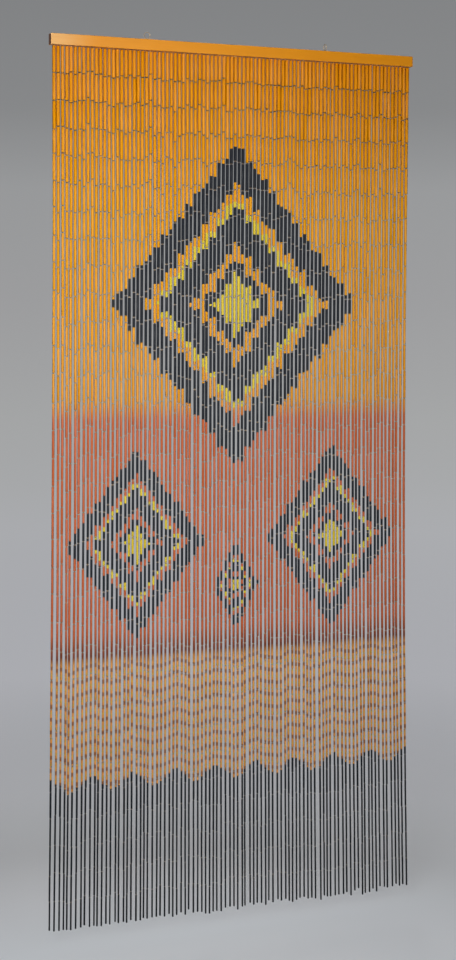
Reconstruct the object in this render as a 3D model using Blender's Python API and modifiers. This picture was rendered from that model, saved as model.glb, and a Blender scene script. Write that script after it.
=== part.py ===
"""Bamboo bead door curtain: a painted wooden rail with two screw eyes, and ninety bead strands below it.

Metres, +Z up. The origin is the centre of the rail's top face, and the curtain's front faces -Y.
"""

import math
import random

import bmesh
import bpy
from mathutils import Matrix

# Clearance between two pieces that touch in use
FIT_GAP = 0.0003

# Header rail: one planed batten
RAIL_LENGTH = 0.900
RAIL_DEPTH = 0.020
RAIL_HEIGHT = 0.025
RAIL_EDGE = 0.0012

# Screw eyes: wire bent to a ring on a shank, which sits in a pilot hole in the rail's top
EYE_X = 0.222
EYE_WIRE_RADIUS = 0.0009
EYE_RING_RADIUS = 0.0068
EYE_RING_HEIGHT = 0.0093
EYE_BEND_RADIUS = 0.0022
EYE_SHANK_LENGTH = 0.0120
EYE_MOUTH_ANGLE = math.radians(6)
EYE_RING_STEPS = 22
EYE_BEND_STEPS = 4
PILOT_DEPTH = 0.0140

# Strands: ninety strings of bamboo tubes, fused at their roots into a narrow strip under the rail
STRANDS = 90
PITCH = 0.0099
DROP = 2.000
STRIP_DEPTH = 0.0050
STRIP_HEIGHT = 0.0012
ROOT_WIDTH = 0.0016
ROOT_LENGTH = 0.0015
SHOULDER = 0.0004
# A four-sided strand this much narrower than a round tube is about as full
SQUARE_FOR_ROUND = 0.90

# How the strands hang: a slight waist at half height, a flare at the ends, a drift to -X between them,
# and each strand's own sway, which grows from nothing at the rail to its limit at a third of the drop
WAIST = 0.013
FLARE = 0.008
DRIFT = 0.0025
SWAY_LIMIT = 0.0021
SWAY_FREE = 0.33
LENGTH_SPREAD = 0.0035
LENGTH_LIMIT = 0.009
STRAND_SEED = 7100

# Thick tubes are strung at the top and thin ones below: depth under the rail's top, tube diameter
TUBE_SIZES = (
    (0.00, 0.0090),
    (0.10, 0.0088),
    (0.18, 0.0083),
    (0.28, 0.0077),
    (0.42, 0.0071),
    (0.65, 0.0064),
    (1.05, 0.0056),
    (1.45, 0.0052),
    (1.68, 0.0047),
    (1.80, 0.0041),
    (2.05, 0.0039),
)

# Painted bands down a strand: name, depth of its lower edge, colour
BANDS = (
    ("orange_paint", 0.84, (0.80, 0.30, 0.02)),
    ("terracotta_paint", 1.40, (0.42, 0.10, 0.05)),
    ("sand_paint", 1.69, (0.62, 0.36, 0.15)),
    ("black_paint", 2.05, (0.03, 0.03, 0.04)),
)
# Extra sections where the thick tubes give way to thin ones
THINNING_DEPTHS = (0.18, 0.42)


def clear_scene():
    for leftover in list(bpy.data.objects):
        bpy.data.objects.remove(leftover, do_unlink=True)


def new_collection(name):
    made = bpy.data.collections.new(name)
    bpy.context.scene.collection.children.link(made)
    return made


def material(name, colour, roughness, metallic=0.0):
    made = bpy.data.materials.new(name)
    made.use_nodes = True
    shader = made.node_tree.nodes["Principled BSDF"]
    shader.inputs["Base Color"].default_value = (*colour, 1.0)
    shader.inputs["Roughness"].default_value = roughness
    shader.inputs["Metallic"].default_value = metallic
    return made


def object_from_bmesh(bm, name, collection):
    mesh = bpy.data.meshes.new(name)
    bm.to_mesh(mesh)
    bm.free()
    made = bpy.data.objects.new(name, mesh)
    collection.objects.link(made)
    return made


def box_bmesh(length, depth, height, centre):
    bm = bmesh.new()
    bmesh.ops.create_cube(bm, size=1.0)
    bmesh.ops.scale(bm, vec=(length, depth, height), verts=bm.verts)
    bmesh.ops.translate(bm, vec=centre, verts=bm.verts)
    return bm


def make_rail(collection):
    """A batten with eased edges and its top face at z = 0."""
    bm = box_bmesh(RAIL_LENGTH, RAIL_DEPTH, RAIL_HEIGHT, (0, 0, -RAIL_HEIGHT / 2))
    rail = object_from_bmesh(bm, "header_rail", collection)
    easing = rail.modifiers.new("eased_edges", "BEVEL")
    easing.width = RAIL_EDGE
    easing.segments = 2
    rail.data.materials.append(material("orange_lacquered_pine", (0.78, 0.30, 0.03), 0.35))
    return rail


def bore_pilot_hole(rail, name, x, collection):
    """A blind hole in the rail's top, a fit gap wider than the shank of the eye that goes into it."""
    bm = bmesh.new()
    radius = EYE_WIRE_RADIUS + FIT_GAP
    above = PILOT_DEPTH
    placed = Matrix.Translation((x, 0, (above - PILOT_DEPTH) / 2))
    bmesh.ops.create_cone(
        bm, cap_ends=True, segments=16, radius1=radius, radius2=radius,
        depth=PILOT_DEPTH + above, matrix=placed
    )
    cutter = object_from_bmesh(bm, name, collection)
    cutter.hide_render = True
    cutter.display_type = "WIRE"
    cut = rail.modifiers.new(name, "BOOLEAN")
    cut.operation = "DIFFERENCE"
    cut.object = cutter


def arc(centre, radius, start, end, steps):
    """Points of an arc, as (across, up) pairs."""
    angles = [start + (end - start) * step / steps for step in range(steps + 1)]
    return [(centre[0] + radius * math.cos(a), centre[1] + radius * math.sin(a)) for a in angles]


def eye_outline():
    """The wire's centre line: up the shank, a small bend to the side, then nearly once round the ring."""
    reach = EYE_RING_RADIUS + EYE_BEND_RADIUS
    bend_centre = (EYE_BEND_RADIUS, EYE_RING_HEIGHT - math.sqrt(reach**2 - EYE_BEND_RADIUS**2))
    meeting = math.atan2(bend_centre[1] - EYE_RING_HEIGHT, bend_centre[0])
    bend = arc(bend_centre, EYE_BEND_RADIUS, math.pi, meeting + math.pi, EYE_BEND_STEPS)
    mouth = 1.5 * math.pi - EYE_MOUTH_ANGLE
    ring = arc((0, EYE_RING_HEIGHT), EYE_RING_RADIUS, meeting, mouth, EYE_RING_STEPS)
    return [(0, -EYE_SHANK_LENGTH), (0, -EYE_SHANK_LENGTH / 2)] + bend + ring[1:]


def make_eye(name, x, turn, plated, collection):
    """A screw eye at x on the rail, its ring turned by an angle about the shank."""
    curve = bpy.data.curves.new(name, "CURVE")
    curve.dimensions = "3D"
    curve.bevel_depth = EYE_WIRE_RADIUS
    curve.bevel_resolution = 2
    curve.use_fill_caps = True
    route = eye_outline()
    wire = curve.splines.new("POLY")
    wire.points.add(len(route) - 1)
    for point, (across, up) in zip(wire.points, route):
        point.co = (across, 0, up, 1)
    curve.materials.append(plated)
    eye = bpy.data.objects.new(name, curve)
    eye.location = (x, 0, 0)
    eye.rotation_euler = (0, 0, turn)
    collection.objects.link(eye)
    return eye


def tube_diameter(depth):
    """Read from TUBE_SIZES by straight lines between its rows."""
    for (upper, thick), (lower, thin) in zip(TUBE_SIZES, TUBE_SIZES[1:]):
        if depth <= lower:
            return thick + (thin - thick) * (depth - upper) / (lower - upper)
    return TUBE_SIZES[-1][1]


def strand_habit(number):
    """How one strand hangs, drawn from its own seed."""
    draw = random.Random(STRAND_SEED + number)
    return {
        "lean": draw.gauss(0, 0.45),
        "wave": draw.uniform(0.15, 0.55),
        "turns": draw.uniform(0.6, 1.4),
        "phase": draw.uniform(0, 2 * math.pi),
        "fore_lean": draw.gauss(0, 0.45),
        "fore_phase": draw.uniform(0, 2 * math.pi),
        "end": DROP + max(-LENGTH_LIMIT, min(LENGTH_LIMIT, draw.gauss(0, LENGTH_SPREAD))),
    }


def strand_place(number, habit, depth):
    """(x, y) of a strand's axis at a depth under the rail's top."""
    share = depth / DROP
    spread = 1 - WAIST * math.sin(math.pi * share) + FLARE * share**2
    hung = (number - (STRANDS - 1) / 2) * PITCH * spread - DRIFT * math.sin(math.pi * share)
    free = SWAY_LIMIT * min(share / SWAY_FREE, 1)
    swing = 2 * math.pi * habit["turns"] * share
    side = habit["lean"] * share + habit["wave"] * math.sin(swing + habit["phase"])
    fore = habit["fore_lean"] * share + habit["wave"] * math.sin(swing + habit["fore_phase"])
    return hung + free * max(-1, min(1, side)), free * max(-1, min(1, fore))


def strip_cell(bm, x):
    """One strand's length of the strip, open to its neighbours; gives the face that the strand grows from."""
    top = -RAIL_HEIGHT - FIT_GAP
    cell = bmesh.ops.create_cube(bm, size=1.0)["verts"]
    bmesh.ops.scale(bm, vec=(PITCH, STRIP_DEPTH, STRIP_HEIGHT), verts=cell)
    bmesh.ops.translate(bm, vec=(x, 0, top - STRIP_HEIGHT / 2), verts=cell)
    sides = {face for vert in cell for face in vert.link_faces}
    open_ends = [face for face in sides if abs(face.normal.x) > 0.5]
    underside = min(sides, key=lambda face: face.calc_center_median().z)
    bmesh.ops.delete(bm, geom=open_ends, context="FACES_ONLY")
    bmesh.ops.inset_individual(bm, faces=[underside], thickness=STRIP_DEPTH / 4)
    return underside


def place_section(face, centre, width):
    """Moves a face's four corners to a level square."""
    middle = face.calc_center_median()
    for vert in face.verts:
        vert.co.x = centre[0] + math.copysign(width / 2, vert.co.x - middle.x)
        vert.co.y = centre[1] + math.copysign(width / 2, vert.co.y - middle.y)
        vert.co.z = centre[2]


def next_section(bm, face, centre, width):
    """Extrudes a strand's last face to a new section, and gives that section."""
    grown = bmesh.ops.extrude_discrete_faces(bm, faces=[face])["faces"][0]
    place_section(grown, centre, width)
    return grown


def grow_strand(bm, number, underside):
    """The strand's neck under the strip, then its sections, painted by band, down to its own end."""
    habit = strand_habit(number)
    strip_base = RAIL_HEIGHT + FIT_GAP + STRIP_HEIGHT
    root_x = strand_place(number, habit, 0)[0]
    place_section(underside, (root_x, 0, -strip_base), ROOT_WIDTH)
    section = next_section(bm, underside, (root_x, 0, -strip_base - ROOT_LENGTH), ROOT_WIDTH)
    tube_top = strip_base + ROOT_LENGTH + SHOULDER
    band_ends = [lower for _, lower, _ in BANDS[:-1]]
    depths = [tube_top] + sorted([*THINNING_DEPTHS, *band_ends]) + [habit["end"]]
    for depth in depths:
        x, y = strand_place(number, habit, depth)
        width = tube_diameter(depth) * SQUARE_FOR_ROUND
        section = next_section(bm, section, (x, y, -depth), width)
    for face in bm.faces[:]:
        middle = -face.calc_center_median().z
        face.material_index = sum(middle > lower for lower in band_ends)


def make_strands(collection):
    """All the strands and the strip that their roots are fused into, as one closed body."""
    bm = bmesh.new()
    for number in range(STRANDS):
        cell = bmesh.new()
        x = (number - (STRANDS - 1) / 2) * PITCH
        grow_strand(cell, number, strip_cell(cell, x))
        piece = bpy.data.meshes.new("strand_piece")
        cell.to_mesh(piece)
        cell.free()
        bm.from_mesh(piece)
        bpy.data.meshes.remove(piece)
    bmesh.ops.remove_doubles(bm, verts=bm.verts, dist=1e-5)
    rims = [edge for edge in bm.edges if edge.is_boundary]
    bmesh.ops.holes_fill(bm, edges=rims, sides=4)
    bmesh.ops.recalc_face_normals(bm, faces=bm.faces)
    strands = object_from_bmesh(bm, "bead_strands", collection)
    for name, _, colour in BANDS:
        strands.data.materials.append(material(name, colour, 0.4))
    return strands


clear_scene()
curtain = new_collection("bamboo_door_curtain")
cutters = new_collection("cutters")
header = make_rail(curtain)
plated_steel = material("plated_steel", (0.72, 0.68, 0.60), 0.3, 1.0)
for eye_name, eye_x, eye_turn in (("eye_left", -EYE_X, 0.0), ("eye_right", EYE_X, math.pi / 2)):
    bore_pilot_hole(header, "pilot_hole_" + eye_name, eye_x, cutters)
    make_eye(eye_name, eye_x, eye_turn, plated_steel, curtain)
make_strands(curtain)
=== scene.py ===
# Bamboo door curtain: ninety strands of painted bamboo tubes, wired end to end, under an orange rail.
import math
import random

import bmesh
import bpy
from mathutils import Matrix, Vector


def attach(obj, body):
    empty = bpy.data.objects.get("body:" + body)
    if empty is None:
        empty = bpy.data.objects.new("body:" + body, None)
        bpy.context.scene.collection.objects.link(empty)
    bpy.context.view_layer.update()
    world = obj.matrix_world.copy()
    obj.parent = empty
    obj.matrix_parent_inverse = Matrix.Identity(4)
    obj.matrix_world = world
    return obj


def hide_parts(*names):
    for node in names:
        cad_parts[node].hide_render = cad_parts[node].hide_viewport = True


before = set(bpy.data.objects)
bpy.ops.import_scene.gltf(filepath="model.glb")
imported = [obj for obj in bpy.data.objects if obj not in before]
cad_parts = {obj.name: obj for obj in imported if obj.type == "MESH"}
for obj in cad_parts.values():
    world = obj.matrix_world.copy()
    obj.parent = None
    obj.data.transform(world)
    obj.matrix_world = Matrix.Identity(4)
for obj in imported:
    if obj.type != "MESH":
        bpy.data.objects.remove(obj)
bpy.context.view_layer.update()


# Camera.
# It stands a little above the curtain's middle and to its left, so the strands stay upright in the
# picture and the rail runs off to the right. The picture is taken as 456 x 960.
CAMERA_PLACE = (-1.4395, -3.6626, -0.6429)
CAMERA_HEADING = math.radians(21.147)
CAMERA_ROLL = math.radians(0.145)
LONG_SIDE = 960
FOCAL_PIXELS = 1694.7
HORIZON_PIXEL = 322.5
FILM_MM = 36

lens = bpy.data.cameras.new("camera")
lens.sensor_width = FILM_MM
lens.lens = FILM_MM * FOCAL_PIXELS / LONG_SIDE
lens.shift_y = (HORIZON_PIXEL - LONG_SIDE / 2) / LONG_SIDE
camera = bpy.data.objects.new("camera", lens)
heading = Matrix.Rotation(-CAMERA_HEADING, 4, "Z") @ Matrix.Rotation(math.pi / 2, 4, "X")
camera.matrix_world = Matrix.Translation(CAMERA_PLACE) @ heading @ Matrix.Rotation(CAMERA_ROLL, 4, "Z")
bpy.context.scene.collection.objects.link(camera)
bpy.context.scene.camera = camera
bpy.context.scene.view_settings.view_transform = "Standard"


# Studio.
# A pale floor that runs out far past the curtain and sweeps up into a grey wall all round, turned as one
# surface. It glows softly with painted light in place of lamps on the floor in front of the curtain and
# the wall's foot, with painted shade in a ring round the curtain's foot and darkening up the wall, and a
# little more painted light towards the right.
FLOOR_HEIGHT = -2.045
FLOOR_RADIUS = 9.5
SWEEP_RADIUS = 3.0
SWEEP_STEPS = 12
WALL_TOP = 8.0
STUDIO_SIDES = 96
STUDIO_GREY = "C2C3C5"
GLOW_REACH = 20.0
GLOW_STRENGTH = 0.98
GLOW_MORE_TO_RIGHT = 0.012
GLOW_MIDDLE = (-0.5, -1.0, 0.0)
PAINTED_GLOW_STOPS = (
    # share of GLOW_REACH from the pool's middle out and up the wall, colour, alpha
    (0.045, "868A8E", 1),
    # from here the glow dips, painted shade in a ring round the curtain's foot, then rises again
    (0.055, "818589", 1),
    (0.065, "7C7F83", 1),
    (0.073, "75787B", 1),
    (0.084, "686B6E", 1),
    (0.096, "717477", 1),
    (0.113, "7D7F83", 1),
    (0.197, "95969B", 1),
    (0.433, "98999C", 1),
    # from here up the wall it darkens, painted shade towards the wall's top
    (0.643, "949595", 1),
    (0.743, "8D8D8E", 1),
    (0.813, "898A8B", 1),
    (0.853, "767778", 1),
    (0.953, "6C6D6E", 1),
)
SMOOTH_UP_TO = math.radians(40)


def srgb(code):
    """A hex colour as linear red, green, blue and alpha."""
    parts = [int(code[place:place + 2], 16) / 255 for place in (0, 2, 4)]
    return [p / 12.92 if p <= 0.04045 else ((p + 0.055) / 1.055) ** 2.4 for p in parts] + [1]


def new_material(name):
    """An empty node material with its Principled shader."""
    material = bpy.data.materials.new(name)
    material.use_nodes = True
    return material, material.node_tree.nodes["Principled BSDF"]


def add(material, kind, inputs=None, **settings):
    """Adds a node. The settings are its properties, and inputs gives each socket a value or a link."""
    node = material.node_tree.nodes.new("ShaderNode" + kind)
    for name, value in settings.items():
        setattr(node, name, value)
    for name, value in (inputs or {}).items():
        if isinstance(value, bpy.types.NodeSocket):
            material.node_tree.links.new(value, node.inputs[name])
        else:
            node.inputs[name].default_value = value
    return node


def new_piece(name, bm, material):
    """Turns a bmesh into an object of the scene, smooth but for its sharp edges."""
    mesh = bpy.data.meshes.new(name)
    bm.to_mesh(mesh)
    bm.free()
    mesh.materials.append(material)
    mesh.shade_smooth()
    mesh.set_sharp_from_angle(angle=SMOOTH_UP_TO)
    piece = bpy.data.objects.new(name, mesh)
    bpy.context.scene.collection.objects.link(piece)
    return piece


def set_stops(ramp, stops, interpolation):
    """Gives a colour ramp its stops, each a place, a hex colour and an alpha."""
    ramp.interpolation = interpolation
    while len(ramp.elements) < len(stops):
        ramp.elements.new(1)
    for element, (place, code, alpha) in zip(ramp.elements, stops):
        element.position = place
        element.color = srgb(code)[:3] + [alpha]


# Matt studio paint, pale grey and without shine, with a painted glow on it in place of lamps' light.
studio_paint, shader = new_material("matt studio paint with painted light")
shader.inputs["Base Color"].default_value = srgb(STUDIO_GREY)
shader.inputs["Roughness"].default_value = 0.9
shader.inputs["Specular IOR Level"].default_value = 0.1
place = add(studio_paint, "TexCoord").outputs["Object"]
out = add(studio_paint, "VectorMath", {0: place, 1: GLOW_MIDDLE}, operation="SUBTRACT").outputs["Vector"]
out = add(studio_paint, "VectorMath", {0: out, 1: (1, 1, 0)}, operation="MULTIPLY").outputs["Vector"]
out = add(studio_paint, "VectorMath", {0: out}, operation="LENGTH").outputs["Value"]
height = add(studio_paint, "SeparateXYZ", {"Vector": place}).outputs["Z"]
way = add(studio_paint, "Math", {0: out, 1: height}, operation="ADD").outputs["Value"]
way = add(studio_paint, "Math", {0: way, 1: FLOOR_HEIGHT}, operation="SUBTRACT").outputs["Value"]
way = add(studio_paint, "Math", {0: way, 1: GLOW_REACH}, operation="DIVIDE").outputs["Value"]
painted_glow = add(studio_paint, "ValToRGB", {"Fac": way})
set_stops(painted_glow.color_ramp, PAINTED_GLOW_STOPS, "LINEAR")
studio_paint.node_tree.links.new(painted_glow.outputs["Color"], shader.inputs["Emission Color"])
# Painted light: the glow grows a little stronger towards the right.
right = add(studio_paint, "SeparateXYZ", {"Vector": place}).outputs["X"]
strength = add(studio_paint, "Math", {0: right, 1: GLOW_MORE_TO_RIGHT, 2: GLOW_STRENGTH},
               operation="MULTIPLY_ADD").outputs["Value"]
studio_paint.node_tree.links.new(strength, shader.inputs["Emission Strength"])

bm = bmesh.new()
middle = bm.verts.new((0, 0, FLOOR_HEIGHT))
floor_edge = bm.verts.new((FLOOR_RADIUS, 0, FLOOR_HEIGHT))
bm.edges.new((middle, floor_edge))
sweep = bmesh.ops.spin(bm, geom=[floor_edge], cent=(FLOOR_RADIUS, 0, FLOOR_HEIGHT + SWEEP_RADIUS),
                       axis=(0, -1, 0), angle=math.pi / 2, steps=SWEEP_STEPS)
wall_foot = sweep["geom_last"][0]
wall_head = bmesh.ops.extrude_vert_indiv(bm, verts=[wall_foot])["verts"]
bmesh.ops.translate(bm, verts=wall_head, vec=(0, 0, WALL_TOP - wall_foot.co.z))
bmesh.ops.spin(bm, geom=bm.verts[:] + bm.edges[:], cent=(0, 0, 0), axis=(0, 0, 1), angle=2 * math.pi,
               steps=STUDIO_SIDES, use_merge=True)
bmesh.ops.remove_doubles(bm, verts=bm.verts, dist=0.0001)
bmesh.ops.recalc_face_normals(bm, faces=bm.faces)
bmesh.ops.reverse_faces(bm, faces=bm.faces)
studio = new_piece("studio_sweep", bm, studio_paint)
studio.visible_shadow = False
studio.visible_diffuse = False
studio.visible_glossy = False

# Soft light from all round, stronger from above and behind, so that the curtain's back is lit too.
AIR_FRONT = "505152"
AIR_BACK = "7E7F80"
BACK_AND_UP = (0.20, 0.75, 0.60)
BACK_STARTS = -0.1

world = bpy.data.worlds.new("studio air")
world.use_nodes = True
towards = add(world, "TexCoord").outputs["Generated"]
behind = add(world, "VectorMath", {0: towards, 1: BACK_AND_UP}, operation="DOT_PRODUCT").outputs["Value"]
behind = add(world, "MapRange", {"Value": behind, "From Min": BACK_STARTS}, interpolation_type="SMOOTHSTEP")
air = add(world, "Mix", {"Factor": behind.outputs["Result"], "A": srgb(AIR_FRONT), "B": srgb(AIR_BACK)},
          data_type="RGBA").outputs[2]
world.node_tree.links.new(air, world.node_tree.nodes["Background"].inputs["Color"])
bpy.context.scene.world = world

# Soft boxes: a tall key to the left of the curtain, a weak fill in front of it, and one behind it that only
# lights its back. A narrow spread keeps a box's light off the floor beside it.
LAMPS = (
    # name, place, aimed at, width, height, watts, spread in degrees
    ("key_softbox", (-1.2, -2.0, -0.5), (-0.1, 0.0, -0.80), 0.8, 1.8, 13.0, 80),
    ("fill_softbox", (0.45, -3.6, 0.6), (0.0, 0.0, -0.8), 0.8, 0.8, 12, 180),
    ("back_softbox", (1.5, 3.8, -0.7), (0.0, 0.0, -0.8), 0.8, 0.8, 12, 50),
)
for name, stand, target, width, tall, watts, spread in LAMPS:
    light = bpy.data.lights.new(name, "AREA")
    light.shape = "RECTANGLE"
    light.size = width
    light.size_y = tall
    light.energy = watts
    light.spread = math.radians(spread)
    lamp = bpy.data.objects.new(name, light)
    aim = (Vector(stand) - Vector(target)).to_track_quat("Z", "Y").to_matrix().to_4x4()
    lamp.matrix_world = Matrix.Translation(stand) @ aim
    lamp.visible_camera = False
    lamp.visible_glossy = name != "back_softbox"
    bpy.context.scene.collection.objects.link(lamp)


# Header rail.
# A planed softwood batten, 900 x 20 x 25 mm, sprayed with orange lacquer on its four long faces and left
# raw where it was sawn to length. The solid's own shape is right, so it only gets its finish here.
RAIL_HALF_DEPTH = 0.010
RAIL_HALF_HEIGHT = 0.0125
RAIL_END = 0.4497
GRAIN_WIDTH = 0.0014
GRAIN_LENGTH = 0.110
CLOUDS_A_METRE = (9, 60, 60)
WEAR_BY_GRAIN = 0.16
# A painted sheen towards the rail's left end: where it starts, how far it reaches, how strong it is and how
# much the grain sways it.
SHEEN_END = -0.450
SHEEN_REACH = 0.120
SHEEN_MOST = 0.60
SHEEN_BY_GRAIN = 1.2
SHEEN_AT_LEAST = 0.4
ORANGE_LACQUER = "F6A012"
DEEP_LACQUER = "E8900A"
WORN_LACQUER = "F4BE62"
SHEEN_LACQUER = "FCCB86"
END_GRAIN = "7E4D2A"

# Orange lacquer on planed pine: satin, with the grain just felt through it and worn pale on the edges.
# Towards the left end it turns paler, a painted sheen that stands for the lamps' broad reflection there.
lacquer, shader = new_material("orange lacquer on planed pine with painted sheen")
shader.inputs["Specular IOR Level"].default_value = 0.35
place = add(lacquer, "TexCoord").outputs["Object"]
grain_place = add(lacquer, "Mapping", {
    "Vector": place,
    "Scale": (1 / GRAIN_LENGTH, 1 / GRAIN_WIDTH, 1 / GRAIN_WIDTH),
}).outputs["Vector"]
grain = add(lacquer, "TexNoise", {"Vector": grain_place, "Scale": 1.0, "Detail": 3.0}).outputs["Fac"]
cloud_place = add(lacquer, "Mapping", {"Vector": place, "Scale": CLOUDS_A_METRE}).outputs["Vector"]
cloud = add(lacquer, "TexNoise", {"Vector": cloud_place, "Scale": 1.0, "Detail": 2.0}).outputs["Fac"]
coat = add(lacquer, "Mix", {"Factor": cloud, "A": srgb(DEEP_LACQUER), "B": srgb(ORANGE_LACQUER)},
           data_type="RGBA").outputs[2]
streak = add(lacquer, "MapRange", {"Value": grain, "From Min": 0.52, "From Max": 0.75, "To Max": 0.45})
coat = add(lacquer, "Mix", {"Factor": streak.outputs["Result"], "A": coat, "B": srgb(DEEP_LACQUER)},
           data_type="RGBA").outputs[2]
from_middle = add(lacquer, "VectorMath", {0: place, 1: (0, 0, RAIL_HALF_HEIGHT)}, operation="ADD")
away = add(lacquer, "VectorMath", {0: from_middle.outputs["Vector"]}, operation="ABSOLUTE")
sides = add(lacquer, "SeparateXYZ", {"Vector": away.outputs["Vector"]})
fore = add(lacquer, "Math", {0: sides.outputs["Y"], 1: RAIL_HALF_DEPTH}, operation="DIVIDE")
up = add(lacquer, "Math", {0: sides.outputs["Z"], 1: RAIL_HALF_HEIGHT}, operation="DIVIDE")
edge = add(lacquer, "Math", {0: fore.outputs["Value"], 1: up.outputs["Value"]}, operation="MINIMUM")
rub = add(lacquer, "Math", {0: grain, 1: WEAR_BY_GRAIN, 2: edge.outputs["Value"]},
          operation="MULTIPLY_ADD")
worn = add(lacquer, "MapRange", {"Value": rub.outputs["Value"], "From Min": 1.00, "From Max": 1.06,
                                 "To Max": 0.7})
coat = add(lacquer, "Mix", {"Factor": worn.outputs["Result"], "A": coat, "B": srgb(WORN_LACQUER)},
           data_type="RGBA").outputs[2]
# Painted sheen: paler towards the left end, more strongly where the grain runs.
along = add(lacquer, "SeparateXYZ", {"Vector": place}).outputs["X"]
rubbed_and_sheen = add(lacquer, "MapRange", {
    "Value": along,
    "From Min": SHEEN_END,
    "From Max": SHEEN_END + SHEEN_REACH,
    "To Min": SHEEN_MOST,
    "To Max": 0.0,
}, interpolation_type="SMOOTHSTEP").outputs["Result"]
sheen_by_grain = add(lacquer, "Math", {0: grain, 1: SHEEN_BY_GRAIN, 2: SHEEN_AT_LEAST},
               operation="MULTIPLY_ADD").outputs["Value"]
rubbed_and_sheen = add(lacquer, "Math", {0: rubbed_and_sheen, 1: sheen_by_grain}, operation="MULTIPLY").outputs["Value"]
coat = add(lacquer, "Mix", {"Factor": rubbed_and_sheen, "A": coat, "B": srgb(SHEEN_LACQUER)},
           data_type="RGBA").outputs[2]
sawn = add(lacquer, "Math", {0: sides.outputs["X"], 1: RAIL_END}, operation="GREATER_THAN")
coat = add(lacquer, "Mix", {"Factor": sawn.outputs["Value"], "A": coat, "B": srgb(END_GRAIN)},
           data_type="RGBA").outputs[2]
lacquer.node_tree.links.new(coat, shader.inputs["Base Color"])
gloss = add(lacquer, "MapRange", {"Value": grain, "To Min": 0.25, "To Max": 0.42}).outputs["Result"]
lacquer.node_tree.links.new(gloss, shader.inputs["Roughness"])
relief = add(lacquer, "Bump", {"Height": grain, "Strength": 0.35, "Distance": 0.0004}).outputs["Normal"]
lacquer.node_tree.links.new(relief, shader.inputs["Normal"])
for rail_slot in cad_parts["header_rail"].material_slots:
    rail_slot.material = lacquer


# Screw eyes.
# Two eyes bent from 1.8 mm plated steel wire and screwed into the rail's top: a straight shank, a small
# bend to one side, and a ring that stops just short of the shank. The right one is a quarter turn round.
EYE_X = 0.222
EYE_WIRE_RADIUS = 0.0009
EYE_RING_RADIUS = 0.0068
EYE_RING_HEIGHT = 0.0093
EYE_BEND_RADIUS = 0.0022
EYE_SHANK_LENGTH = 0.0120
EYE_MOUTH_ANGLE = math.radians(6)
EYE_SIDES = 12
EYE_BEND_STEPS = 6
EYE_RING_STEPS = 40
PLATING = "F0DFC2"
DULL_PLATING = "D2BD98"
DULL_PATCHES_A_METRE = 420.0

# Plated steel wire: warm and pale, gone matt in patches where it was bent and handled.
plated_wire, shader = new_material("matt plated steel wire")
shader.inputs["Metallic"].default_value = 1.0
place = add(plated_wire, "TexCoord").outputs["Object"]
dulling = add(plated_wire, "TexNoise", {
    "Vector": place,
    "Scale": DULL_PATCHES_A_METRE,
    "Detail": 3.0,
}).outputs["Fac"]
tone = add(plated_wire, "Mix", {"Factor": dulling, "A": srgb(PLATING), "B": srgb(DULL_PLATING)},
           data_type="RGBA").outputs[2]
plated_wire.node_tree.links.new(tone, shader.inputs["Base Color"])
dull = add(plated_wire, "MapRange", {"Value": dulling, "To Min": 0.60, "To Max": 0.80}).outputs["Result"]
plated_wire.node_tree.links.new(dull, shader.inputs["Roughness"])


def bend_wire(bm, end, centre, angle, steps):
    """Carries a wire's open end on round a centre in XZ, clockwise from the front for a positive angle."""
    turned = bmesh.ops.spin(bm, geom=end, cent=(centre[0], 0, centre[1]), axis=(0, 1, 0), angle=angle,
                            steps=steps)
    return turned["geom_last"]


for name, eye_x, turn in (("eye_left", -EYE_X, 0.0), ("eye_right", EYE_X, math.pi / 2)):
    reach = EYE_RING_RADIUS + EYE_BEND_RADIUS
    bend_height = EYE_RING_HEIGHT - math.sqrt(reach**2 - EYE_BEND_RADIUS**2)
    meeting = math.atan2(bend_height - EYE_RING_HEIGHT, EYE_BEND_RADIUS)
    bm = bmesh.new()
    bmesh.ops.create_circle(bm, segments=EYE_SIDES, radius=EYE_WIRE_RADIUS, cap_ends=False)
    bmesh.ops.translate(bm, verts=bm.verts, vec=(0, 0, -EYE_SHANK_LENGTH))
    shank = bmesh.ops.extrude_edge_only(bm, edges=bm.edges)["geom"]
    shank_end = [part for part in shank if not isinstance(part, bmesh.types.BMFace)]
    tip = [part for part in shank_end if isinstance(part, bmesh.types.BMVert)]
    bmesh.ops.translate(bm, verts=tip, vec=(0, 0, bend_height + EYE_SHANK_LENGTH))
    tip_edges = [edge for edge in bm.edges if all(end in tip for end in edge.verts)]
    bend_end = bend_wire(bm, tip + tip_edges, (EYE_BEND_RADIUS, bend_height), math.pi + meeting,
                         EYE_BEND_STEPS)
    ring_sweep = meeting - (1.5 * math.pi - EYE_MOUTH_ANGLE)
    bend_wire(bm, bend_end, (0, EYE_RING_HEIGHT), ring_sweep, EYE_RING_STEPS)
    bmesh.ops.holes_fill(bm, edges=bm.edges)
    bmesh.ops.rotate(bm, verts=bm.verts, cent=(0, 0, 0), matrix=Matrix.Rotation(turn, 3, "Z"))
    bmesh.ops.translate(bm, verts=bm.verts, vec=(eye_x, 0, 0))
    bmesh.ops.recalc_face_normals(bm, faces=bm.faces)
    eye = new_piece(name + "_wire", bm, plated_wire)
    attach(eye, "root")
    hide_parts(name)


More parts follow.
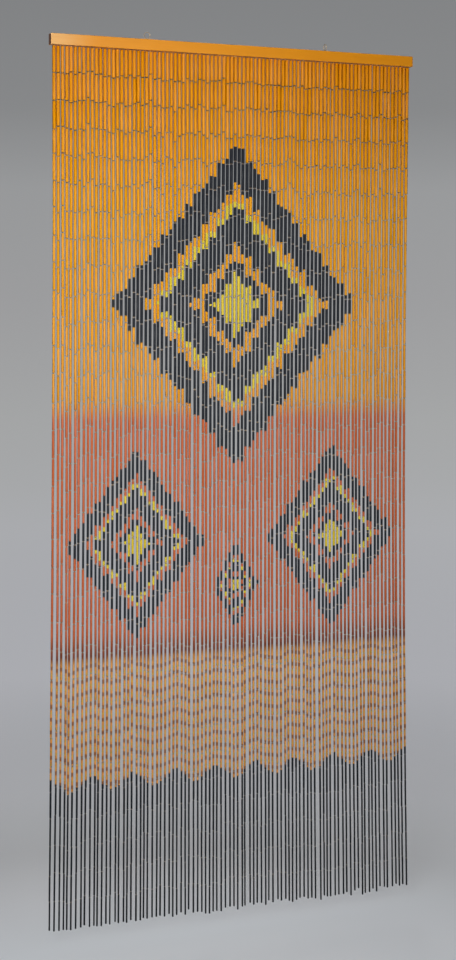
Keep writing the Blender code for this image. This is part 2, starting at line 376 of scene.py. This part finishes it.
# Bamboo strands.
# Each strand is thirty-two tubes sawn from thin cane, about 60 mm long and 9 mm down to 4 mm thick. They
# are painted in bands and figures when strung, so a figure's edge steps from strand to strand.
STRANDS = 90
PITCH = 0.0099
DROP = 2.000
TUBES = 32
TUBE_TOP = 0.0266
JOINT_GAP = 0.0011
LENGTH_VARIES = 0.05
LAST_TUBE_EXTRA = 0.07
WAIST = 0.013
FLARE = 0.008
DRIFT = 0.0025
SWAY_LIMIT = 0.0021
SWAY_FREE = 0.33
LEAN = 0.45
WAVE = (0.15, 0.55)
WAVE_TURNS = (0.6, 1.4)
LENGTH_SPREAD = 0.0035
LENGTH_LIMIT = 0.009
STRAND_SEED = 7100
TUBE_SEED = 4300
JOINT_PLAY = 0.00016
TUBE_SIZES = (
    # depth under the rail's top, tube diameter
    (0.00, 0.0090),
    (0.10, 0.0088),
    (0.18, 0.0083),
    (0.28, 0.0077),
    (0.42, 0.0071),
    (0.65, 0.0064),
    (1.05, 0.0056),
    (1.45, 0.0052),
    (1.68, 0.0047),
    (1.80, 0.0041),
    (2.05, 0.0039),
)
STRANDS_A_PIECE = 5
TUBE_SIDES = 8
BORE = 0.56
RIM = 0.10
RIM_LENGTH = 0.009
WIDTH_VARIES = 0.03
SWELL = 0.02
KNUCKLE_REACH = 0.25
OUT_OF_ROUND = 0.04
MAP_COLUMNS = 16
MAP_LINES = 10
MAP_MARGIN = 0.03
MAP_ROWS_OF_A_TUBE = (0.10, 0.14, 0.16, 0.52, 0.88, 0.90, 0.94)
MAP_BORE = 0.04


def tube_diameter(depth):
    """Read from TUBE_SIZES by straight lines between its rows."""
    for (upper, thick), (lower, thin_and_side_shade) in zip(TUBE_SIZES, TUBE_SIZES[1:]):
        if depth <= lower:
            return thick + (thin_and_side_shade - thick) * (depth - upper) / (lower - upper)
    return TUBE_SIZES[-1][1]


def strand_habit(number):
    """How one strand hangs, drawn from its own seed."""
    draw = random.Random(STRAND_SEED + number)
    return {
        "lean": draw.gauss(0, LEAN),
        "wave": draw.uniform(*WAVE),
        "turns": draw.uniform(*WAVE_TURNS),
        "phase": draw.uniform(0, 2 * math.pi),
        "fore_lean": draw.gauss(0, LEAN),
        "fore_phase": draw.uniform(0, 2 * math.pi),
        "end": DROP + max(-LENGTH_LIMIT, min(LENGTH_LIMIT, draw.gauss(0, LENGTH_SPREAD))),
    }


def strand_place(number, habit, depth):
    """The point of a strand's axis at a depth under the rail's top."""
    share = depth / DROP
    spread = 1 - WAIST * math.sin(math.pi * share) + FLARE * share**2
    hung = (number - (STRANDS - 1) / 2) * PITCH * spread - DRIFT * math.sin(math.pi * share)
    free = SWAY_LIMIT * min(share / SWAY_FREE, 1)
    swing = 2 * math.pi * habit["turns"] * share
    side = habit["lean"] * share + habit["wave"] * math.sin(swing + habit["phase"])
    fore = habit["fore_lean"] * share + habit["wave"] * math.sin(swing + habit["fore_phase"])
    return Vector((hung + free * max(-1, min(1, side)), free * max(-1, min(1, fore)), -depth))


def strand_tubes(number):
    """The top and bottom point of each tube of a strand, with its random source for what else varies."""
    habit = strand_habit(number)
    draw = random.Random(TUBE_SEED + number)
    shares = [draw.gauss(1, LENGTH_VARIES) for _ in range(TUBES)]
    shares[-1] += LAST_TUBE_EXTRA
    unit = (habit["end"] - TUBE_TOP - (TUBES - 1) * JOINT_GAP) / sum(shares)
    depth = TUBE_TOP
    tubes = []
    for share in shares:
        play = Vector((draw.gauss(0, JOINT_PLAY), draw.gauss(0, JOINT_PLAY), 0))
        top = strand_place(number, habit, depth) + play
        depth += share * unit
        bottom = strand_place(number, habit, depth) + play
        depth += JOINT_GAP
        tubes.append((top, bottom))
    return tubes, draw


def tube_pattern():
    """A tube of unit radius and length that hangs from the origin, turned from the outline of its wall."""
    bm = bmesh.new()
    row = bm.verts.layers.int.new("row")
    outline = (
        # radius, height: from the bore out round the lower rim, up the outside and back in to the bore
        (BORE, -1),
        (1 - RIM, -1),
        (1, -1 + RIM_LENGTH),
        (1, -0.5),
        (1, -RIM_LENGTH),
        (1 - RIM, 0),
        (BORE, 0),
    )
    corners = [bm.verts.new((radius, 0, height)) for radius, height in outline]
    for number, corner in enumerate(corners):
        corner[row] = number
    for corner, following in zip(corners, corners[1:] + corners[:1]):
        bm.edges.new((corner, following))
    bmesh.ops.spin(bm, geom=bm.verts[:] + bm.edges[:], cent=(0, 0, 0), axis=(0, 0, 1), angle=2 * math.pi,
                   steps=TUBE_SIDES, use_merge=True)
    bmesh.ops.recalc_face_normals(bm, faces=bm.faces)
    for name in ("strand", "tone", "bare"):
        bm.faces.layers.float.new(name)
    bare = bm.faces.layers.float["bare"]
    rim = bm.verts.layers.float.new("rim")
    bm.verts.layers.float.new("side_shade")
    flat = bm.loops.layers.uv.new("OFBake")
    for corner in bm.verts:
        corner[rim] = 0 if corner[row] == 3 else 1
    for face in bm.faces:
        rows = {corner[row] for corner in face.verts}
        face[bare] = 1 if rows in ({0, 1}, {5, 6}, {0, 6}) else 0
        middle = face.calc_center_median()
        side = math.floor(math.atan2(middle.y, middle.x) / (2 * math.pi) * TUBE_SIDES) % TUBE_SIDES
        for loop in face.loops:
            turn = round(math.atan2(loop.vert.co.y, loop.vert.co.x) / (2 * math.pi) * TUBE_SIDES)
            across = side + (turn - side) % TUBE_SIDES
            high = MAP_ROWS_OF_A_TUBE[loop.vert[row]]
            if rows == {0, 6} and loop.vert[row] == 6:
                high = MAP_BORE
            loop[flat].uv = (across / TUBE_SIDES, high)
    bm.verts.layers.int.remove(row)
    mesh = bpy.data.meshes.new("tube pattern")
    bm.to_mesh(mesh)
    bm.free()
    return mesh


def seat(top, bottom, turn):
    """Carries a pattern that hangs from the origin to the line from top to bottom, turned about it."""
    tilt = Vector((0, 0, 1)).rotation_difference(top - bottom).to_matrix().to_4x4()
    return Matrix.Translation(top) @ tilt @ Matrix.Rotation(turn, 4, "Z")


# Brushed paint on split-free cane: bands of orange, terracotta and sand over a black foot, with stepped
# black and yellow lozenges and brown zigzags. Semi-gloss, a little uneven from tube to tube and along the
# cane's grain, rubbed off at the rims, with straw-coloured raw wood where the tubes are sawn and bored. In
# the upper tubes that wood is darkened to brown as painted shade on the ends' shaded undersides. Each tube
# also carries painted shade down its two sides and a painted highlight along its crown.
BLACK_PAINT = "2C2F35"
YELLOW_PAINT = "E2C838"
BAND_DEPTH = 2.1
BANDS = (
    # share of BAND_DEPTH, colour, alpha
    (0.000, "F29602", 1),
    (0.090, "F09C04", 1),
    (0.190, "EEA314", 1),
    (0.330, "ECA22A", 1),
    (0.390, "E69C30", 1),
    (0.412, "CA6A42", 1),
    (0.520, "C9683F", 1),
    (0.640, "C86840", 1),
    (0.664, "7A3F2A", 1),
    (0.674, "E6A050", 1),
    (0.800, "ECA250", 1),
)
FIGURES = (
    # across, depth, half width, half height
    (0.000, 0.600, 0.330, 0.400),
    (-0.245, 1.145, 0.180, 0.230),
    (0.245, 1.145, 0.180, 0.230),
    (0.000, 1.250, 0.060, 0.110),
)
FIGURE_RINGS = (
    # share of the way out, colour, alpha
    (0.00, YELLOW_PAINT, 1),
    (0.21, BLACK_PAINT, 1),
    (0.30, BLACK_PAINT, 0),
    (0.38, BLACK_PAINT, 1),
    (0.60, YELLOW_PAINT, 1),
    (0.65, BLACK_PAINT, 0),
    (0.73, BLACK_PAINT, 1),
    (0.96, BLACK_PAINT, 0),
)
FIGURE_TEETH = 0.085
TOOTH_HEIGHT = 0.55
COMB = 0.022
ZIGZAG_TOP = 1.425
ZIGZAG_PITCH = 0.0285
ZIGZAG_HALF_PERIOD = 0.0495
ZIGZAG_SLOPE = 0.32
ZIGZAG_DASHES = (
    # share of a row, colour, alpha
    (0.00, "8A5138", 0.8),
    (0.30, "8A5138", 0),
    (0.62, "D2BC45", 0.6),
    (0.72, "D2BC45", 0),
)
FOOT_DEPTH = 1.700
FOOT_TOOTH_HALF_WIDTH = 0.0495
FOOT_TOOTH_SLOPE = 0.8
STENCIL_SLIP = 0.007
CANE_FIBRE_WIDTH = 0.0007
CANE_FIBRE_LENGTH = 0.030
# Raw wood at the tube ends: straw-coloured, with the upper pair darkened to brown as painted shade on the
# upper tubes' shaded undersides, fading out between the two depths that follow.
SHADED_UPPER_WOOD = ("7A5A34", "452E1A")
LOWER_WOOD = ("B9996B", "86683F")
WOOD_SHADE_FADES = (0.18, 0.50)
RAW_WOOD_ROUGHNESS = 0.8
MOTTLE = 0.16
RIM_RUB = 0.10
RIM_RUBBED_PAST = 1.045

paint, shader = new_material("brushed paint on cane with painted shade")
shader.inputs["Specular IOR Level"].default_value = 0.08
place = add(paint, "TexCoord").outputs["Object"]
strand = add(paint, "Attribute", attribute_name="strand").outputs["Fac"]
tone = add(paint, "Attribute", attribute_name="tone").outputs["Fac"]
bare = add(paint, "Attribute", attribute_name="bare").outputs["Fac"]
rim = add(paint, "Attribute", attribute_name="rim").outputs["Fac"]
side_shade = add(paint, "Attribute", attribute_name="side_shade").outputs["Fac"]
slip = add(paint, "TexWhiteNoise", {"W": strand}, noise_dimensions="1D").outputs["Value"]
slip = add(paint, "Math", {0: slip, 1: STENCIL_SLIP, 2: -STENCIL_SLIP / 2}, operation="MULTIPLY_ADD")
height = add(paint, "SeparateXYZ", {"Vector": place}).outputs["Z"]
depth = add(paint, "Math", {0: height, 1: -1, 2: slip.outputs["Value"]}, operation="MULTIPLY_ADD")
depth = depth.outputs["Value"]
across = add(paint, "Math", {0: strand, 1: PITCH, 2: -PITCH * (STRANDS - 1) / 2},
             operation="MULTIPLY_ADD").outputs["Value"]
share = add(paint, "Math", {0: depth, 1: BAND_DEPTH}, operation="DIVIDE").outputs["Value"]
bands = add(paint, "ValToRGB", {"Fac": share})
set_stops(bands.color_ramp, BANDS, "LINEAR")
colour = bands.outputs["Color"]

# Brown zigzag rows in the sand band.
swing = add(paint, "Math", {0: across, 1: ZIGZAG_HALF_PERIOD}, operation="PINGPONG").outputs["Value"]
lifted = add(paint, "Math", {0: swing, 1: ZIGZAG_SLOPE, 2: depth}, operation="MULTIPLY_ADD")
rows = add(paint, "Math", {0: lifted.outputs["Value"], 1: ZIGZAG_PITCH}, operation="DIVIDE")
rows = add(paint, "Math", {0: rows.outputs["Value"]}, operation="FRACT").outputs["Value"]
dashes = add(paint, "ValToRGB", {"Fac": rows})
set_stops(dashes.color_ramp, ZIGZAG_DASHES, "CONSTANT")
below = add(paint, "Math", {0: lifted.outputs["Value"], 1: ZIGZAG_TOP}, operation="GREATER_THAN")
dashed = add(paint, "Math", {0: dashes.outputs["Alpha"], 1: below.outputs["Value"]}, operation="MULTIPLY")
colour = add(paint, "Mix", {"Factor": dashed.outputs["Value"], "A": colour, "B": dashes.outputs["Color"]},
             data_type="RGBA").outputs[2]

# The black foot, with a toothed upper edge.
tooth = add(paint, "Math", {0: across, 1: FOOT_TOOTH_HALF_WIDTH}, operation="PINGPONG").outputs["Value"]
foot = add(paint, "Math", {0: tooth, 1: FOOT_TOOTH_SLOPE, 2: depth}, operation="MULTIPLY_ADD")
foot = add(paint, "Math", {0: foot.outputs["Value"], 1: FOOT_DEPTH}, operation="GREATER_THAN")
colour = add(paint, "Mix", {"Factor": foot.outputs["Value"], "A": colour, "B": srgb(BLACK_PAINT)},
             data_type="RGBA").outputs[2]

# The lozenges: rings about a yellow heart, toothed along their sides and combed from strand to strand.
sheet = add(paint, "CombineXYZ", {"X": across, "Y": depth}).outputs["Vector"]
parity = add(paint, "Math", {0: strand, 1: 1.0}, operation="PINGPONG").outputs["Value"]
for middle_across, middle_depth, half_width, half_height in FIGURES:
    off = add(paint, "VectorMath", {0: sheet, 1: (middle_across, middle_depth, 0)}, operation="SUBTRACT")
    off = add(paint, "VectorMath", {0: off.outputs["Vector"]}, operation="ABSOLUTE").outputs["Vector"]
    out = add(paint, "VectorMath", {0: off, 1: (1 / half_width, 1 / half_height, 0)},
              operation="DOT_PRODUCT").outputs["Value"]
    along = add(paint, "VectorMath", {0: off, 1: (1 / half_width, -1 / half_height, 0)},
                operation="DOT_PRODUCT").outputs["Value"]
    teeth = add(paint, "Math", {0: along, 1: FIGURE_TEETH}, operation="PINGPONG").outputs["Value"]
    out = add(paint, "Math", {0: teeth, 1: TOOTH_HEIGHT, 2: out}, operation="MULTIPLY_ADD").outputs["Value"]
    out = add(paint, "Math", {0: parity, 1: COMB, 2: out}, operation="MULTIPLY_ADD").outputs["Value"]
    rings = add(paint, "ValToRGB", {"Fac": out})
    set_stops(rings.color_ramp, FIGURE_RINGS, "CONSTANT")
    colour = add(paint, "Mix", {"Factor": rings.outputs["Alpha"], "A": colour, "B": rings.outputs["Color"]},
                 data_type="RGBA").outputs[2]

# Over all of it the paint is a little uneven. Each tube is darker down its two sides as painted shade,
# and paler and less rich along its crown as a painted highlight; a corner attribute tells the two apart.
# It is rubbed to the wood at the rims, but for the black foot.
fibre_place = add(paint, "Mapping", {
    "Vector": place,
    "Scale": (1 / CANE_FIBRE_WIDTH, 1 / CANE_FIBRE_WIDTH, 1 / CANE_FIBRE_LENGTH),
}).outputs["Vector"]
fibre = add(paint, "TexNoise", {"Vector": fibre_place, "Scale": 1.0, "Detail": 2.0}).outputs["Fac"]
mottle = add(paint, "Math", {0: fibre, 1: MOTTLE, 2: tone}, operation="MULTIPLY_ADD").outputs["Value"]
bright = add(paint, "MapRange", {"Value": mottle, "From Max": 1 + MOTTLE, "To Min": 0.92, "To Max": 1.01})
# Painted shade darkens a tube's sides; below it, a painted highlight makes its crown less rich.
thin_and_side_shade = add(paint, "MapRange", {"Value": side_shade, "From Min": 0.45, "To Min": 1.0, "To Max": 0.55})
value = add(paint, "Math", {0: bright.outputs["Result"], 1: thin_and_side_shade.outputs["Result"]}, operation="MULTIPLY")
rich = add(paint, "MapRange", {"Value": tone, "To Min": 1.02, "To Max": 0.98}).outputs["Result"]
painted_crown_highlight = add(paint, "MapRange", {"Value": side_shade, "From Max": 0.8, "To Min": 0.96, "To Max": 1.03})
rich = add(paint, "Math", {0: rich, 1: painted_crown_highlight.outputs["Result"]}, operation="MULTIPLY").outputs["Value"]
colour = add(paint, "HueSaturation", {
    "Color": colour,
    "Value": value.outputs["Value"],
    "Saturation": rich,
}).outputs["Color"]
rub = add(paint, "Math", {0: fibre, 1: RIM_RUB, 2: rim}, operation="MULTIPLY_ADD").outputs["Value"]
rubbed_and_sheen = add(paint, "Math", {0: rub, 1: RIM_RUBBED_PAST}, operation="GREATER_THAN").outputs["Value"]
unpainted = add(paint, "Math", {0: 1.0, 1: foot.outputs["Value"]}, operation="SUBTRACT").outputs["Value"]
rubbed_and_sheen = add(paint, "Math", {0: rubbed_and_sheen, 1: unpainted}, operation="MULTIPLY").outputs["Value"]
raw = add(paint, "Math", {0: rubbed_and_sheen, 1: bare}, operation="MAXIMUM").outputs["Value"]
# Painted shade: the raw wood is darker in the upper tubes, whose ends face down into shade, and fades to
# straw further down.
shaded_wood = add(paint, "Mix", {"Factor": fibre, "A": srgb(SHADED_UPPER_WOOD[0]), "B": srgb(SHADED_UPPER_WOOD[1])},
                data_type="RGBA").outputs[2]
pale_wood = add(paint, "Mix", {"Factor": fibre, "A": srgb(LOWER_WOOD[0]), "B": srgb(LOWER_WOOD[1])},
                data_type="RGBA").outputs[2]
less_shade = add(paint, "MapRange", {
    "Value": depth,
    "From Min": WOOD_SHADE_FADES[0],
    "From Max": WOOD_SHADE_FADES[1],
}).outputs["Result"]
wood = add(paint, "Mix", {"Factor": less_shade, "A": shaded_wood, "B": pale_wood}, data_type="RGBA").outputs[2]
colour = add(paint, "Mix", {"Factor": raw, "A": colour, "B": wood}, data_type="RGBA").outputs[2]
paint.node_tree.links.new(colour, shader.inputs["Base Color"])
gloss = add(paint, "MapRange", {"Value": mottle, "From Max": 1 + MOTTLE, "To Min": 0.38, "To Max": 0.50})
dull = add(paint, "Mix", {"Factor": raw, "A": gloss.outputs["Result"], "B": RAW_WOOD_ROUGHNESS}).outputs[0]
paint.node_tree.links.new(dull, shader.inputs["Roughness"])
relief = add(paint, "Bump", {"Height": fibre, "Strength": 0.25, "Distance": 0.0002}).outputs["Normal"]
paint.node_tree.links.new(relief, shader.inputs["Normal"])

pattern = tube_pattern()
for first in range(0, STRANDS, STRANDS_A_PIECE):
    bm = bmesh.new()
    cell = 0
    for number in range(first, first + STRANDS_A_PIECE):
        tubes, draw = strand_tubes(number)
        for top, bottom in tubes:
            bm.from_mesh(pattern)
            bm.verts.ensure_lookup_table()
            bm.faces.ensure_lookup_table()
            strand_layer = bm.faces.layers.float["strand"]
            tone_layer = bm.faces.layers.float["tone"]
            rim_layer = bm.verts.layers.float["rim"]
            side_shade_layer = bm.verts.layers.float["side_shade"]
            flat = bm.loops.layers.uv["OFBake"]
            width = tube_diameter(-(top.z + bottom.z) / 2) / 2 * draw.gauss(1, WIDTH_VARIES)
            swell = draw.gauss(1, SWELL)
            knuckle = draw.uniform(-KNUCKLE_REACH, KNUCKLE_REACH)
            out_of_round = draw.uniform(-OUT_OF_ROUND, OUT_OF_ROUND)
            shade = draw.random()
            turn = draw.uniform(0, 2 * math.pi)
            turned = seat(top, bottom, turn)
            turned @= Matrix.Diagonal((width * (1 + out_of_round), width * (1 - out_of_round),
                                       (top - bottom).length, 1))
            for corner in bm.verts[-len(pattern.vertices):]:
                # How far a corner faces sideways, which sets the painted shade down a tube's sides.
                corner[side_shade_layer] = abs(math.cos(math.atan2(corner.co.y, corner.co.x) + turn))
                if corner[rim_layer] == 0:
                    corner.co = (corner.co.x * swell, corner.co.y * swell, corner.co.z + knuckle)
                corner.co = turned @ corner.co
            column = cell % MAP_COLUMNS
            line = cell // MAP_COLUMNS
            for face in bm.faces[-len(pattern.polygons):]:
                face[strand_layer] = number
                face[tone_layer] = shade
                for loop in face.loops:
                    spot = loop[flat].uv
                    loop[flat].uv = (
                        (column + MAP_MARGIN + spot.x * (1 - 2 * MAP_MARGIN)) / MAP_COLUMNS,
                        (line + spot.y) / MAP_LINES,
                    )
            cell += 1
    piece = new_piece(f"bamboo_strands_{first + 1:02d}_to_{first + STRANDS_A_PIECE:02d}", bm, paint)
    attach(piece, "root")
    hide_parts("bead_strands")


# Wire links.
# A wire runs through each tube and is bent into an eye at both ends, with each eye closed through the
# next one at right angles. At the top it closes through an eye driven into the rail's underside.
LINK_RADIUS = 0.00085
LINK_WIRE_RADIUS = 0.00032
LINK_STEPS = 8
LINK_SIDES = 4
STRANDS_A_LINK_PIECE = 30
LINK_SPACING = 2 * (LINK_RADIUS - LINK_WIRE_RADIUS)
LINK_SEAT = (JOINT_GAP - LINK_SPACING) / 2
LINK_SEED = 5200
BRIGHT_ZINC = "B9B4A8"
DULL_ZINC = "7C776E"
SPANGLES_A_METRE = 900.0

# Galvanised binding wire: pale grey, faintly warm, with a soft broken shine.
galvanised, shader = new_material("galvanised binding wire")
shader.inputs["Metallic"].default_value = 1.0
place = add(galvanised, "TexCoord").outputs["Object"]
spangle = add(galvanised, "TexNoise", {
    "Vector": place,
    "Scale": SPANGLES_A_METRE,
    "Detail": 2.0,
}).outputs["Fac"]
tone = add(galvanised, "Mix", {"Factor": spangle, "A": srgb(BRIGHT_ZINC), "B": srgb(DULL_ZINC)},
           data_type="RGBA").outputs[2]
galvanised.node_tree.links.new(tone, shader.inputs["Base Color"])
dull = add(galvanised, "MapRange", {"Value": spangle, "To Min": 0.30, "To Max": 0.60}).outputs["Result"]
galvanised.node_tree.links.new(dull, shader.inputs["Roughness"])


def link_pattern(eyes):
    """One or two eyes that hang from the origin, the second closed through the first at right angles."""
    bm = bmesh.new()
    bmesh.ops.create_circle(bm, segments=LINK_SIDES, radius=LINK_WIRE_RADIUS,
                            matrix=Matrix.Translation((LINK_RADIUS, 0, 0)))
    bmesh.ops.spin(bm, geom=bm.verts[:] + bm.edges[:], cent=(0, 0, 0), axis=(0, 1, 0), angle=2 * math.pi,
                   steps=LINK_STEPS, use_merge=True)
    bmesh.ops.translate(bm, verts=bm.verts, vec=(0, 0, -LINK_SEAT))
    if eyes == 2:
        second = bmesh.ops.duplicate(bm, geom=bm.verts[:] + bm.edges[:] + bm.faces[:])["geom"]
        corners = [part for part in second if isinstance(part, bmesh.types.BMVert)]
        bmesh.ops.rotate(bm, verts=corners, cent=(0, 0, 0), matrix=Matrix.Rotation(math.pi / 2, 3, "Z"))
        bmesh.ops.translate(bm, verts=corners, vec=(0, 0, -LINK_SPACING))
    bmesh.ops.recalc_face_normals(bm, faces=bm.faces)
    mesh = bpy.data.meshes.new("link pattern")
    bm.to_mesh(mesh)
    bm.free()
    return mesh


def core_pattern():
    """The straight wire in a tube: unit length, hanging from the origin."""
    bm = bmesh.new()
    bmesh.ops.create_cone(bm, cap_ends=True, segments=LINK_SIDES, radius1=LINK_WIRE_RADIUS,
                          radius2=LINK_WIRE_RADIUS, depth=1, matrix=Matrix.Translation((0, 0, -0.5)))
    mesh = bpy.data.meshes.new("core pattern")
    bm.to_mesh(mesh)
    bm.free()
    return mesh


def stamp(bm, pattern, placing):
    """Adds a pattern's mesh to a bmesh at the place that a matrix gives."""
    bm.from_mesh(pattern)
    bm.verts.ensure_lookup_table()
    for corner in bm.verts[-len(pattern.vertices):]:
        corner.co = placing @ corner.co


pair = link_pattern(2)
single = link_pattern(1)
core = core_pattern()
for first in range(0, STRANDS, STRANDS_A_LINK_PIECE):
    bm = bmesh.new()
    for number in range(first, first + STRANDS_A_LINK_PIECE):
        tubes, _ = strand_tubes(number)
        draw = random.Random(LINK_SEED + number)
        above = tubes[0][0] + Vector((0, 0, JOINT_GAP))
        for top, bottom in tubes:
            stamp(bm, pair, seat(above, top, draw.uniform(0, math.pi)))
            run = (top - bottom).normalized() * (LINK_SEAT - LINK_RADIUS)
            whole = (top - bottom + 2 * run).length
            stamp(bm, core, seat(top + run, bottom - run, 0) @ Matrix.Diagonal((1, 1, whole, 1)))
            above = bottom
        foot = above - Vector((0, 0, JOINT_GAP))
        stamp(bm, single, seat(above, foot, draw.uniform(0, math.pi)))
    piece = new_piece(f"wire_links_{first + 1:02d}_to_{first + STRANDS_A_LINK_PIECE:02d}", bm, galvanised)
    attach(piece, "root")

for spent in (pattern, pair, single, core):
    bpy.data.meshes.remove(spent)
